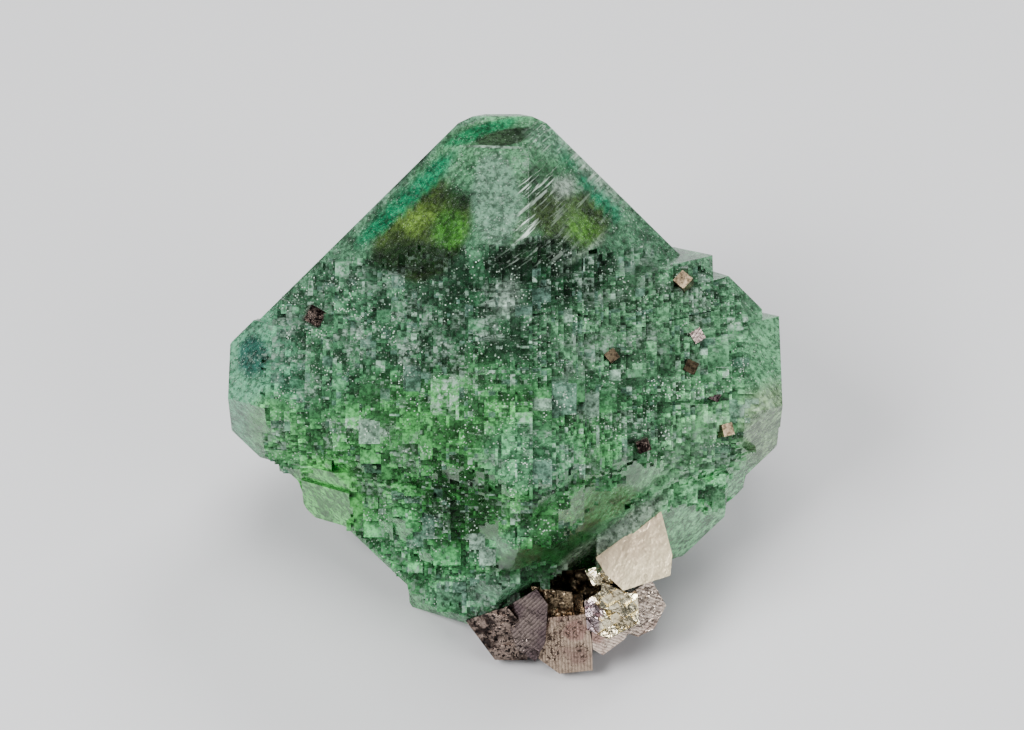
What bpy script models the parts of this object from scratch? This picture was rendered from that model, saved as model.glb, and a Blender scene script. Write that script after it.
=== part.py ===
"""Green fluorite octahedron grown on a cluster of pyrite crystals, with small pyrite grains on its faces.

The fluorite is one composite crystal. It is a truncated octahedron, raised blocks in the same orientation
and a crust of small cubes, all fused into one solid. The pyrite cluster is a second solid that fills the
broken lower corner, and each pyrite grain sits in a pocket of its own in the fluorite.

Everything is modelled upright in the crystal's own axes and leaned back on an empty: +X to the right, -Y
towards the front corner, +Z towards the top corner. Sizes below are in millimetres.
"""

import math
import random

import bmesh
import bpy
from mathutils import Matrix, Vector

MM = 0.001

# How the specimen rests: the front corner points up by LEAN, and the middle of the crystal is this high.
LEAN = math.radians(30.0)
MIDDLE = Vector((1.05, 0.26, 20.0))

# Reach of the eight octahedral faces, measured along an axis, by side (x, z). Front and back are alike.
REACH = {(-1, 1): 32.4, (1, 1): 29.9, (-1, -1): 31.6, (1, -1): 32.4}
# Cube faces that blunt the six corners.
TIP_LEFT, TIP_RIGHT, TIP_TOP, TIP_BOTTOM, TIP_FRONT, TIP_BACK = 28.4, 26.3, 27.3, 23.0, 28.4, 26.6
# Narrow face along the ridge from the top corner to the front corner, and the tilted crown faces above it.
RIDGE_REACH = 28.6
CROWN_FRONT_NORMAL, CROWN_FRONT_REACH = (0.0, -0.467, 0.884), 23.7
CROWN_BACK_NORMAL, CROWN_BACK_REACH = (0.0, 0.242, 0.970), 27.0
# Plane where the pyrite has taken the place of the lower right corner.
CONTACT_NORMAL, CONTACT_REACH = (0.493, -0.482, -0.724), 18.1

# Raised blocks of the same crystal: x from, x to, y from, y to, z from, z to, octahedral reach.
BLOCKS = {
    "left_tip": (-28.4, -18.0, -9.0, 9.0, -7.3, 6.9, 32.9),
    "right_tip": (15.0, 26.3, -9.0, 9.0, -3.0, 7.3, 33.6),
    "right_corner": (18.0, 24.4, -9.5, 8.0, -5.4, 1.0, 33.4),
    "right_shoulder": (6.0, 24.6, -14.5, 13.0, 2.0, 11.4, 32.6),
    "shoulder_top": (9.0, 19.6, -9.0, 8.0, 9.0, 13.5, 33.2),
    "lower_right": (8.0, 21.2, -11.0, 12.0, -17.6, -7.5, 34.6),
    "right_step": (13.0, 23.0, -12.0, 8.0, -11.5, -4.6, 33.5),
    "lower_left": (-21.3, -12.0, -10.0, 9.0, -13.6, -8.6, 33.7),
    "lower_left_step": (-23.6, -15.0, -9.0, 6.0, -8.4, -6.4, 33.2),
    "bottom_left": (-10.7, -2.5, -8.0, 4.0, -23.0, -16.5, 33.4),
    "bottom_ledge": (-9.2, 0.5, -9.0, 0.0, -21.4, -17.5, 33.8),
    "left_shoulder": (-23.2, -12.0, -13.0, 8.0, 2.0, 9.2, 33.2),
    "left_shoulder_top": (-18.4, -11.0, -9.0, 6.0, 8.0, 13.4, 33.0),
    "front_left_plate": (-7.8, -4.8, -18.4, -12.0, 6.9, 9.9, 60.0),
    "front_left_step": (-9.0, -5.6, -20.2, -12.0, 2.2, 4.4, 34.8),
    "front_top_plate": (-2.9, 0.2, -20.7, -12.0, 6.8, 9.4, 60.0),
    "front_right_plate": (1.4, 5.8, -22.6, -12.0, 3.0, 5.2, 34.4),
    "front_low_plate": (-1.6, 6.6, -24.0, -10.0, -9.8, -3.4, 34.0),
    "low_wall": (-12.5, -6.2, -20.5, -8.0, -15.5, -5.6, 33.2),
    "back_upper": (-9.0, 7.0, 8.0, 24.0, 3.0, 15.0, 34.2),
    "back_left": (-19.0, -6.5, 6.0, 18.0, -6.0, 5.5, 33.6),
    "back_right": (5.5, 17.5, 7.0, 19.0, -7.5, 3.5, 34.2),
    "back_low": (-8.0, 5.0, 8.0, 21.0, -13.5, -4.0, 33.4),
    "back_plate": (-3.5, 3.0, 20.0, 27.2, -2.6, 3.2, 60.0),
}

# Crust of small cubes: octant signs (x, y, z), how many, smallest and largest side, lowest and highest |z|.
CRUST = (
    ((-1, -1, 1), 100, 0.9, 2.4, 0.8, 13.5),
    ((1, -1, 1), 90, 0.9, 2.3, 0.8, 12.5),
    ((-1, -1, -1), 40, 0.8, 1.9, 0.5, 9.0),
    ((1, -1, -1), 30, 0.8, 1.9, 0.5, 7.5),
    ((-1, 1, 1), 46, 1.3, 3.4, 0.8, 21.0),
    ((1, 1, 1), 46, 1.3, 3.4, 0.8, 21.0),
    ((-1, 1, -1), 30, 1.3, 3.0, 0.8, 15.0),
    ((1, 1, -1), 30, 1.3, 3.0, 0.8, 15.0),
)
CRUST_SEED = 11
CUBE_SINK = 0.45  # how deep a cube's middle lies under the face, as a share of its side
CUBE_STRETCH = 0.35  # how far a cube's sides differ from each other, as a share
EDGE_KEEP = 2.5  # the crust stays this far inside the crystal's edges
CONTACT_KEEP = 0.4  # and this far from the pyrite's seat

# The pyrite crystals are prisms that face the front and lean back by this angle from the fluorite's axes.
CLUSTER_LEAN = math.radians(14.0)
# Outline of each crystal's front face, right and up from the crystal's middle, then the depth of that
# face's middle, its slope to the right and upwards, and how thick the crystal is.
PYRITE = {
    "gold_cube": (
        ((7.9, -16.7), (14.3, -12.0), (15.4, -16.4), (15.2, -18.4), (10.6, -19.9), (8.9, -18.3)),
        8.0, 0.05, -0.10, 12.0,
    ),
    "right_cube": (
        ((11.3, -20.3), (13.4, -18.9), (14.9, -21.5), (13.7, -23.8), (12.1, -24.6), (10.6, -24.0)),
        6.2, -0.25, 0.10, 8.5,
    ),
    "bright_cube": (
        ((6.8, -21.0), (8.9, -19.7), (12.0, -20.3), (12.2, -23.2), (9.2, -24.8), (7.1, -23.8)),
        7.0, 0.10, 0.20, 9.5,
    ),
    "pink_cube": (
        ((7.5, -23.6), (11.7, -23.4), (10.8, -24.9), (8.7, -26.5), (7.7, -25.9)),
        5.0, 0.0, 0.45, 8.0,
    ),
    "foot_cube": (
        ((3.3, -22.7), (7.0, -22.3), (7.6, -25.2), (7.7, -28.1), (4.4, -28.5), (2.3, -26.9)),
        4.3, 0.10, 0.62, 9.0,
    ),
    "grey_cube": (
        ((-1.2, -21.9), (2.1, -19.8), (3.2, -21.3), (3.0, -25.2), (2.0, -27.2), (0.2, -26.0)),
        5.2, 0.45, 0.55, 8.5,
    ),
    "left_cube": (
        ((-4.9, -23.1), (-0.8, -21.6), (1.6, -24.6), (1.2, -27.2), (-2.0, -27.2)),
        3.4, 0.15, 0.75, 8.5,
    ),
    "recess": (
        ((0.6, -20.1), (4.7, -18.3), (9.8, -17.7), (10.8, -21.7), (7.9, -24.6), (2.6, -24.6)),
        1.8, 0.10, 0.25, 9.0,
    ),
    "recess_cube": (
        ((4.8, -20.6), (6.7, -20.5), (6.9, -22.5), (4.9, -22.6)),
        3.7, 0.10, 0.15, 6.0,
    ),
    "brown_cube": (
        ((1.6, -19.6), (5.6, -20.2), (5.9, -23.5), (4.4, -25.6), (2.0, -25.8)),
        4.7, 0.15, 0.40, 9.0,
    ),
    "rim_cube": (
        ((6.9, -18.1), (9.1, -17.3), (9.7, -19.3), (7.7, -19.6)),
        5.6, 0.20, 0.10, 7.0,
    ),
    "wedge_cube": (
        ((8.5, -19.1), (10.7, -20.0), (10.4, -22.1), (8.3, -21.6)),
        7.8, 0.12, 0.25, 6.0,
    ),
}
PRISM_TAPER = 0.94  # the back of a crystal is this much narrower than its face

# Pyrite grains: place right and up from the middle, as the crystal is seen from the front, side, and how
# much further than the main face the raised block under the grain reaches.
GRAINS = (
    (-19.5, 6.8, 1.7, 0.8),
    (16.3, 10.2, 1.4, 3.3),
    (17.5, 4.9, 1.2, 3.3),
    (16.8, 1.9, 1.2, 2.7),
    (11.9, -5.2, 1.25, 0.0),
    (20.3, -3.9, 1.2, 0.0),
    (19.2, -0.8, 1.1, 0.0),
    (9.1, 2.9, 1.1, 0.2),
)
GRAIN_SEED = 5
GRAIN_RISE = 0.25  # how far a grain's middle stands above the face, as a share of its side

GAP = 0.3  # clearance between pieces that touch
FLUORITE_GREEN = (0.16, 0.50, 0.27, 1.0)
PYRITE_GOLD = (0.62, 0.53, 0.40, 1.0)


def clear_scene():
    """Removes whatever the file opened with."""
    for obj in list(bpy.data.objects):
        bpy.data.objects.remove(obj)


def material(name, colour, roughness, metallic):
    """A Principled material of one colour."""
    made = bpy.data.materials.new(name)
    made.use_nodes = True
    shader = made.node_tree.nodes["Principled BSDF"]
    shader.inputs["Base Color"].default_value = colour
    shader.inputs["Roughness"].default_value = roughness
    shader.inputs["Metallic"].default_value = metallic
    return made


def slice_off(bm, normal, reach, faces_of):
    """Cuts away what lies past the plane normal . point = reach, and closes the cut."""
    normal = Vector(normal)
    point = normal * (reach / normal.length_squared)
    geometry = list(faces_of)
    geometry += list({edge for face in faces_of for edge in face.edges})
    geometry += list({vert for face in faces_of for vert in face.verts})
    cut = bmesh.ops.bisect_plane(
        bm, geom=geometry, plane_co=point * MM, plane_no=normal, clear_outer=True
    )
    rim = [part for part in cut["geom_cut"] if isinstance(part, bmesh.types.BMEdge)]
    if rim:
        bmesh.ops.edgeloop_fill(bm, edges=rim)


def add_box(bm, low, high):
    """An upright box between two corners, in millimetres."""
    low, high = Vector(low), Vector(high)
    size = Matrix.Diagonal(high - low).to_4x4()
    place = Matrix.Translation((low + high) / 2 * MM) @ Matrix.Scale(MM, 4) @ size
    bmesh.ops.create_cube(bm, size=1.0, matrix=place)


def mesh_object(name, bm, finish=None):
    """Puts a bmesh in a new object."""
    bmesh.ops.recalc_face_normals(bm, faces=bm.faces)
    mesh = bpy.data.meshes.new(name)
    bm.to_mesh(mesh)
    bm.free()
    obj = bpy.data.objects.new(name, mesh)
    bpy.context.scene.collection.objects.link(obj)
    if finish is not None:
        mesh.materials.append(finish)
    return obj


def helper(obj):
    """Marks an object that only cuts or joins others."""
    obj.hide_render = True
    obj.display_type = "WIRE"
    return obj


def boolean(obj, other, operation, touches_itself=False):
    """Joins or cuts obj with other, by an exact Boolean that stays on the object."""
    modifier = obj.modifiers.new(f"{operation.lower()} {other.name}", "BOOLEAN")
    modifier.operation = operation
    modifier.object = other
    modifier.solver = "EXACT"
    modifier.use_self = touches_itself


def octahedral_planes(reaches, margin):
    """The eight faces as (normal, reach). margin moves each one out by a true distance."""
    out = margin * math.sqrt(3.0)
    return [
        ((sx, sy, sz), reach + out) for (sx, sz), reach in reaches.items() for sy in (-1, 1)
    ]


def body_planes(margin=0.0):
    """Every face of the main crystal as (normal, reach)."""
    tips = (
        ((-1, 0, 0), TIP_LEFT),
        ((1, 0, 0), TIP_RIGHT),
        ((0, -1, 0), TIP_FRONT),
        ((0, 1, 0), TIP_BACK),
        ((0, 0, -1), TIP_BOTTOM),
        ((0, 0, 1), TIP_TOP),
        (CROWN_FRONT_NORMAL, CROWN_FRONT_REACH),
        (CROWN_BACK_NORMAL, CROWN_BACK_REACH),
        (CONTACT_NORMAL, CONTACT_REACH),
    )
    planes = octahedral_planes(REACH, margin)
    planes += [(normal, reach + margin) for normal, reach in tips]
    planes.append(((0, -1, 1), RIDGE_REACH + margin * math.sqrt(2.0)))
    return planes


def main_crystal(name, margin=0.0):
    """The truncated octahedron, cut from a cube by its face planes."""
    bm = bmesh.new()
    bmesh.ops.create_cube(bm, size=80.0 * MM)
    for normal, reach in body_planes(margin):
        slice_off(bm, normal, reach, bm.faces[:])
    return mesh_object(name, bm)


def raised_block(bm, sides, margin):
    """One raised block: a box, cut by octahedral faces where they pass through it."""
    x0, x1, y0, y1, z0, z1, reach = sides
    grow = Vector((margin, margin, margin))
    before = set(bm.faces)
    add_box(bm, Vector((x0, y0, z0)) - grow, Vector((x1, y1, z1)) + grow)
    for normal, distance in octahedral_planes(dict.fromkeys(REACH, reach), margin):
        own = [face for face in bm.faces if face not in before]
        slice_off(bm, normal, distance, own)


def face_point(rng, signs, low, high):
    """A random point of an octahedral face, between two heights and clear of the crystal's edges."""
    sx, sy, sz = signs
    reach = REACH[(sx, sz)]
    while True:
        z = rng.uniform(low, high)
        x = rng.uniform(EDGE_KEEP, reach - z - EDGE_KEEP)
        y = reach - z - x
        if y < EDGE_KEEP or x > TIP_RIGHT - EDGE_KEEP or y > TIP_BACK - EDGE_KEEP:
            continue
        if sy < 0 and z + y > RIDGE_REACH - 0.5 and sz > 0:
            continue
        point = Vector((sx * x, sy * y, sz * z))
        if point.dot(Vector(CONTACT_NORMAL)) < CONTACT_REACH - CONTACT_KEEP:
            return point


def add_crust(bm, margin):
    """Small cubes scattered over the octahedral faces, their corners standing out of them."""
    rng = random.Random(CRUST_SEED)
    grow = Vector((margin, margin, margin))
    for signs, count, small, large, low, high in CRUST:
        outward = Vector(signs).normalized()
        for _ in range(count):
            side = small + (large - small) * rng.random() ** 2
            middle = face_point(rng, signs, low, high) - outward * side * CUBE_SINK
            half = Vector([side / 2 * (1 + CUBE_STRETCH * rng.uniform(-1, 1)) for _ in range(3)])
            add_box(bm, middle - half - grow, middle + half + grow)


def growth(name, margin=0.0):
    """All raised blocks and crust cubes, in one helper that overlaps itself until it is joined."""
    bm = bmesh.new()
    for sides in BLOCKS.values():
        raised_block(bm, sides, margin)
    add_crust(bm, margin)
    return helper(mesh_object(name, bm))


def turned_to_cluster(right, up, depth):
    """A point given right, up and towards the viewer, in the crystal's axes."""
    c, s = math.cos(CLUSTER_LEAN), math.sin(CLUSTER_LEAN)
    return Vector((right, up * s - depth * c, up * c + depth * s))


def add_prism(bm, outline, depth, slope_right, slope_up, thickness):
    """One pyrite crystal: a sloping front face with the given outline, and a narrower face behind it."""
    middle = sum((Vector(corner) for corner in outline), Vector((0.0, 0.0))) / len(outline)
    front, back = [], []
    for corner in outline:
        away = Vector(corner) - middle
        lift = away.x * slope_right + away.y * slope_up
        inner = middle + away * PRISM_TAPER
        front.append(bm.verts.new(turned_to_cluster(*corner, depth + lift) * MM))
        back.append(bm.verts.new(turned_to_cluster(*inner, depth - thickness) * MM))
    bm.faces.new(front)
    bm.faces.new(reversed(back))
    for i in range(len(outline)):
        j = (i + 1) % len(outline)
        bm.faces.new((front[j], front[i], back[i], back[j]))


def pyrite_cluster(finish):
    """The pyrite crystals at the lower right, grown through each other."""
    first, *others = PYRITE.values()
    bm = bmesh.new()
    add_prism(bm, *first)
    cluster = mesh_object("pyrite_cluster", bm, finish)
    bm = bmesh.new()
    for crystal in others:
        add_prism(bm, *crystal)
    rest = helper(mesh_object("pyrite_crystals", bm))
    boolean(cluster, rest, "UNION", touches_itself=True)
    return cluster


def front_face_point(right, up, rise):
    """The point of the crystal's front that shows at this place, and its outward direction."""
    c, s = math.cos(CLUSTER_LEAN), math.sin(CLUSTER_LEAN)
    side = -1 if right < 0 else 1
    for upright in (1, -1):
        reach = REACH[(side, upright)] + rise
        along_up, along_depth = c * upright - s, s * upright + c
        depth = (reach - abs(right) - up * along_up) / along_depth
        point = turned_to_cluster(right, up, depth)
        if point.z * upright >= 0:
            break
    return point, Vector((side, -1, upright)).normalized()


def add_grain(bm, rng, right, up, side, rise, margin):
    """One pyrite grain, a turned cube half sunk in the face."""
    point, outward = front_face_point(right, up, rise)
    turn = Matrix.Rotation(rng.uniform(0, math.pi), 3, outward)
    turn = turn @ Matrix.Rotation(rng.uniform(0.2, 0.9), 3, "X")
    place = Matrix.Translation((point + outward * side * GRAIN_RISE) * MM)
    bmesh.ops.create_cube(bm, size=(side + 2 * margin) * MM, matrix=place @ turn.to_4x4())


def pyrite_grains(finish):
    """The grains as separate solids, and the helper that cuts their pockets."""
    pockets = bmesh.new()
    grains = []
    for number, grain in enumerate(GRAINS, start=1):
        bm = bmesh.new()
        add_grain(bm, random.Random(GRAIN_SEED + number), *grain, 0.0)
        grains.append(mesh_object(f"pyrite_grain_{number}", bm, finish))
        add_grain(pockets, random.Random(GRAIN_SEED + number), *grain, GAP)
    return grains, helper(mesh_object("grain_pockets", pockets))


def ground_cutter():
    """A slab under the ground, which leaves the flat places that the specimen rests on."""
    bm = bmesh.new()
    add_box(bm, (-60, -60, -40), (60, 60, 0))
    return helper(mesh_object("ground_slab", bm))


def main():
    clear_scene()
    green = material("fluorite", FLUORITE_GREEN, 0.25, 0.0)
    gold = material("pyrite", PYRITE_GOLD, 0.3, 1.0)
    specimen = bpy.data.objects.new("specimen", None)
    bpy.context.scene.collection.objects.link(specimen)
    specimen.location = MIDDLE * MM
    specimen.rotation_euler.x = -LEAN

    ground = ground_cutter()
    grains, pockets = pyrite_grains(gold)
    blocks = growth("fluorite_growth")
    crystal = main_crystal("fluorite_crystal")
    crystal.data.materials.append(green)
    boolean(crystal, blocks, "UNION", touches_itself=True)
    boolean(crystal, pockets, "DIFFERENCE")
    boolean(crystal, ground, "DIFFERENCE")

    wide_body = helper(main_crystal("wide_body", GAP))
    wide_growth = growth("wide_growth", GAP)
    cluster = pyrite_cluster(gold)
    boolean(cluster, wide_body, "DIFFERENCE")
    boolean(cluster, wide_growth, "DIFFERENCE", touches_itself=True)
    boolean(cluster, ground, "DIFFERENCE")

    for obj in (crystal, cluster, blocks, wide_body, wide_growth, pockets, *grains):
        obj.parent = specimen
    bpy.data.objects["pyrite_crystals"].parent = specimen


main()
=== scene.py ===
"""Dresses the pyrite specimen: a clear green fluorite octahedron grown onto a cluster of pyrite crystals.

The fluorite is drawn as two sheets of small stepped cells, front and back, over a plane across the crystal.
Each pyrite crystal is a lofted prism with worn, pitted or broken relief. Lengths are in millimetres until a
mesh is written, and forms are placed in the crystal's own axes: x to the right, y away from the front
corner, z towards the top corner.
"""

import logging
import math
import random
from dataclasses import dataclass, field
from enum import Enum

import bmesh
import bpy
import numpy as np
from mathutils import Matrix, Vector
from numpy.typing import NDArray

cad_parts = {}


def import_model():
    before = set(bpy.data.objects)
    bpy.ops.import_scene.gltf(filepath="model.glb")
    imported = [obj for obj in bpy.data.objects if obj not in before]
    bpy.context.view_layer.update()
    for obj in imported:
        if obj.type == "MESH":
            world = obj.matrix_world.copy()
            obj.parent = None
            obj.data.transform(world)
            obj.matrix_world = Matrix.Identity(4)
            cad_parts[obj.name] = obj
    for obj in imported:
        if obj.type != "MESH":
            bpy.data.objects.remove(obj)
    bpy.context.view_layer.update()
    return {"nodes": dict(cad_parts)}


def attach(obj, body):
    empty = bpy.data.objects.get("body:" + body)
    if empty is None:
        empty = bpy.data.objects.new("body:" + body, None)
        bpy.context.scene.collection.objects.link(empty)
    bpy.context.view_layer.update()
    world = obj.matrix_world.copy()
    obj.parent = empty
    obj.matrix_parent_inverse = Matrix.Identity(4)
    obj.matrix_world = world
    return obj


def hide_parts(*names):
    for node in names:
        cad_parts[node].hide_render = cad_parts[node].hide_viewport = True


log = logging.getLogger("specimen")

Array = NDArray[np.float64]
Whole = NDArray[np.int64]
Mask = NDArray[np.bool_]
Colour = tuple[float, float, float]
Plane = tuple[float, float, float, float]
Object = bpy.types.Object
Material = bpy.types.Material
Node = bpy.types.Node
Socket = bpy.types.NodeSocket

MM = 0.001
FAR = 1.0e6
HAIR = 1e-6
HASH_WEIGHTS = (127.1, 311.7, 74.7)
HASH_SEED = 19.19
HASH_BLOW = 43758.5453


@dataclass(frozen=True)
class Stance:
    """How the specimen stands: the lean of the crystal's axes, and where its middle is."""

    lean: float = math.radians(30.0)
    view_rise: float = math.radians(14.0)
    middle: Colour = (1.05, 0.26, 20.0)

    def to_world(self, points: Array) -> Array:
        """Turns points about x by the lean, then moves them to the middle.

        Args:
            points: places in the crystal's axes, one per row, in millimetres.

        Returns:
            The same places in the frame of the part, in millimetres.
        """
        c, s = math.cos(self.lean), math.sin(self.lean)
        x, y, z = points[..., 0], points[..., 1], points[..., 2]
        turned = np.stack([x, c * y + s * z, -s * y + c * z], axis=-1)
        return turned + np.array(self.middle)

    def from_view(self, right: Array, up: Array, depth: Array) -> Array:
        """Places given right, up and towards the viewer, in the crystal's axes."""
        c, s = math.cos(self.view_rise), math.sin(self.view_rise)
        return np.stack([right, up * s - depth * c, up * c + depth * s], axis=-1)

    def view_up(self, y: Array, z: Array) -> Array:
        """How high a place in the crystal's axes shows, seen from the front."""
        return y * math.sin(self.view_rise) + z * math.cos(self.view_rise)


STANCE = Stance()


def hash_noise(cells: Whole, seed: int) -> Array:
    """Random numbers from 0 to 1, the same ones for the same whole-number cell.

    Args:
        cells: whole-number coordinates, three to a row.
        seed: which set of numbers to draw.

    Returns:
        One number per row: a sine of a weighted sum of the coordinates, blown up, with its whole part cut.
    """
    a, b, c = HASH_WEIGHTS
    mixed = cells[..., 0] * a + cells[..., 1] * b + cells[..., 2] * c + seed * HASH_SEED
    return np.modf(np.abs(np.sin(mixed) * HASH_BLOW))[0]


def smooth_noise(points: Array, size: float, seed: int) -> Array:
    """Smooth noise from 0 to 1: random values on a cubic grid, eased and mixed between its eight corners."""
    scaled = points / size
    base = np.floor(scaled).astype(np.int64)
    part = scaled - base
    part = part * part * (3.0 - 2.0 * part)
    total = np.zeros(points.shape[:-1])
    for corner in range(8):
        step = np.array([corner & 1, (corner >> 1) & 1, (corner >> 2) & 1])
        weight = np.prod(np.where(step == 1, part, 1.0 - part), axis=-1)
        total += weight * hash_noise(base + step, seed)
    return total


def fractal_noise(points: Array, size: float, seed: int, layers: int = 3) -> Array:
    """Sum of smooth noises, each half the size and half the strength of the last, from 0 to 1."""
    total = np.zeros(points.shape[:-1])
    strength, whole = 1.0, 0.0
    for layer in range(layers):
        total += strength * smooth_noise(points, size / 2**layer, seed + layer)
        whole += strength
        strength *= 0.5
    return total / whole


def ease(value: Array, low: float, high: float) -> Array:
    """Rises smoothly from 0 at low to 1 at high."""
    t = np.clip((value - low) / (high - low), 0.0, 1.0)
    return t * t * (3.0 - 2.0 * t)


def doubled(cells: Array) -> Array:
    """Each cell's value at its four corners, as a grid twice as wide and high."""
    return np.repeat(np.repeat(cells, 2, 0), 2, 1)


def put_in_scene(name: str, points: Array, faces: Whole) -> Object:
    """Makes a mesh object from points in millimetres and four-cornered faces, and links it to the scene."""
    mesh = bpy.data.meshes.new(name)
    mesh.from_pydata((points * MM).tolist(), [], faces.tolist())
    obj = bpy.data.objects.new(name, mesh)
    bpy.context.scene.collection.objects.link(obj)
    return obj


def close_mesh(obj: Object, merge: float) -> None:
    """Merges points closer than merge, drops faces with no area and turns the rest outwards."""
    bm = bmesh.new()
    bm.from_mesh(obj.data)
    bmesh.ops.remove_doubles(bm, verts=bm.verts, dist=merge * MM)
    bmesh.ops.dissolve_degenerate(bm, edges=bm.edges, dist=merge * MM * 0.5)
    bmesh.ops.recalc_face_normals(bm, faces=bm.faces)
    bm.to_mesh(obj.data)
    bm.free()


def add_colours(obj: Object, name: str, values: Array) -> None:
    """Stores a red, green, blue and extra value at each point of a mesh."""
    layer = obj.data.attributes.new(name, "FLOAT_COLOR", "POINT")
    layer.data.foreach_set("color", values.astype(np.float32).ravel())


class Shade:
    """A node tree being built: adds nodes and joins them. Scales of textures are in cells per metre."""

    def __init__(self, name: str) -> None:
        """Starts an empty material with its output."""
        self.material = bpy.data.materials.new(name)
        self.material.use_nodes = True
        self.tree = self.material.node_tree
        self.tree.nodes.clear()
        self.output = self.add("OutputMaterial")
        self.place = self.add("TexCoord").outputs["Object"]

    def add(self, kind: str, constants: dict[str, object] | None = None, **settings: object) -> Node:
        """Adds a shader node with its settings, and puts each constant on its own socket."""
        node = self.tree.nodes.new("ShaderNode" + kind)
        for key, value in settings.items():
            setattr(node, key, value)
        for key, value in (constants or {}).items():
            node.inputs[key].default_value = value
        return node

    def join(self, source: Socket, target: Socket) -> None:
        """Links two sockets."""
        self.tree.links.new(source, target)

    def fill(self, target: Socket, value: Socket | Colour | float) -> None:
        """Links a socket to another, or puts a colour or a number on it."""
        if isinstance(value, Socket):
            self.join(value, target)
        else:
            target.default_value = (*value, 1.0) if isinstance(value, tuple) else value

    def read(self, kind: str, place: Socket, constants: dict[str, object], **settings: object) -> Node:
        """Adds a texture or a mapping that reads a place."""
        node = self.add(kind, constants, **settings)
        self.join(place, node.inputs["Vector"])
        return node

    def noise(self, scale: float, detail: float = 3.0, rough: float = 0.55, place: Socket | None = None) -> Socket:
        """Cloudy noise, in the object's own space if no other place is given."""
        constants = {"Scale": scale, "Detail": detail, "Roughness": rough}
        return self.read("TexNoise", self.place if place is None else place, constants).outputs["Fac"]

    def cells(self, scale: float, place: Socket) -> Node:
        """Square cells around scattered points."""
        return self.read("TexVoronoi", place, {"Scale": scale}, distance="CHEBYCHEV")

    def mapped(self, place: Socket, change: str, amount: Colour) -> Socket:
        """A place after one change: a Rotation or a Scale."""
        return self.read("Mapping", place, {change: amount}).outputs["Vector"]

    def axes(self) -> Socket:
        """The object's own space, turned by the lean so that it follows the crystal's axes."""
        return self.mapped(self.place, "Rotation", (STANCE.lean, 0.0, 0.0))

    def channels(self, layer: str) -> tuple[Socket, ...]:
        """The red, green, blue and extra value of a colour layer of the mesh."""
        node, split = self.add("VertexColor", layer_name=layer), self.add("SeparateColor")
        self.join(node.outputs["Color"], split.inputs["Color"])
        return (split.outputs[0], split.outputs[1], split.outputs[2], node.outputs["Alpha"])

    def ramp(self, source: Socket, low: float, high: float, flip: bool = False) -> Socket:
        """0 below low and 1 above high, or the other way round."""
        constants = {"From Min": low, "From Max": high, "To Min": float(flip), "To Max": float(not flip)}
        node = self.add("MapRange", constants, interpolation_type="SMOOTHSTEP")
        self.join(source, node.inputs["Value"])
        return node.outputs["Result"]

    def spread(self, source: Socket, low: float, high: float) -> Socket:
        """Goes evenly from low to high as the source goes from 0 to 1."""
        node = self.add("MapRange", {"To Min": low, "To Max": high})
        self.join(source, node.inputs["Value"])
        return node.outputs["Result"]

    def number(self, kind: str, first: Socket, second: Socket | float) -> Socket:
        """A sum, product or other result of two numbers."""
        node = self.add("Math", operation=kind)
        self.join(first, node.inputs[0])
        self.fill(node.inputs[1], second)
        return node.outputs["Value"]

    def times(self, first: Socket, *others: Socket | float) -> Socket:
        """The product of all the numbers given."""
        for other in others:
            first = self.number("MULTIPLY", first, other)
        return first

    def blend(
        self, share: Socket | float, first: Socket | Colour, second: Socket | Colour, kind: str = "MIX"
    ) -> Socket:
        """Goes from the first colour to the second, or to their product, as share goes from 0 to 1."""
        node = self.add("Mix", data_type="RGBA", blend_type=kind)
        for index, value in ((0, share), (6, first), (7, second)):
            self.fill(node.inputs[index], value)
        return node.outputs[2]

    def bump(self, height: Socket, distance: float, strength: float, under: Socket | None = None) -> Socket:
        """Small relief in the shading, in millimetres, on top of another if one is given."""
        node = self.add("Bump", {"Distance": distance * MM, "Strength": strength})
        self.join(height, node.inputs["Height"])
        if under is not None:
            self.join(under, node.inputs["Normal"])
        return node.outputs["Normal"]

    def principled(self, constants: dict[str, object], **joined: Socket) -> None:
        """The surface shader, with each constant on its own socket and the rest joined."""
        node = self.add("BsdfPrincipled", constants)
        for name, source in joined.items():
            self.join(source, node.inputs[name.replace("_", " ")])
        self.join(node.outputs["BSDF"], self.output.inputs["Surface"])


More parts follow.
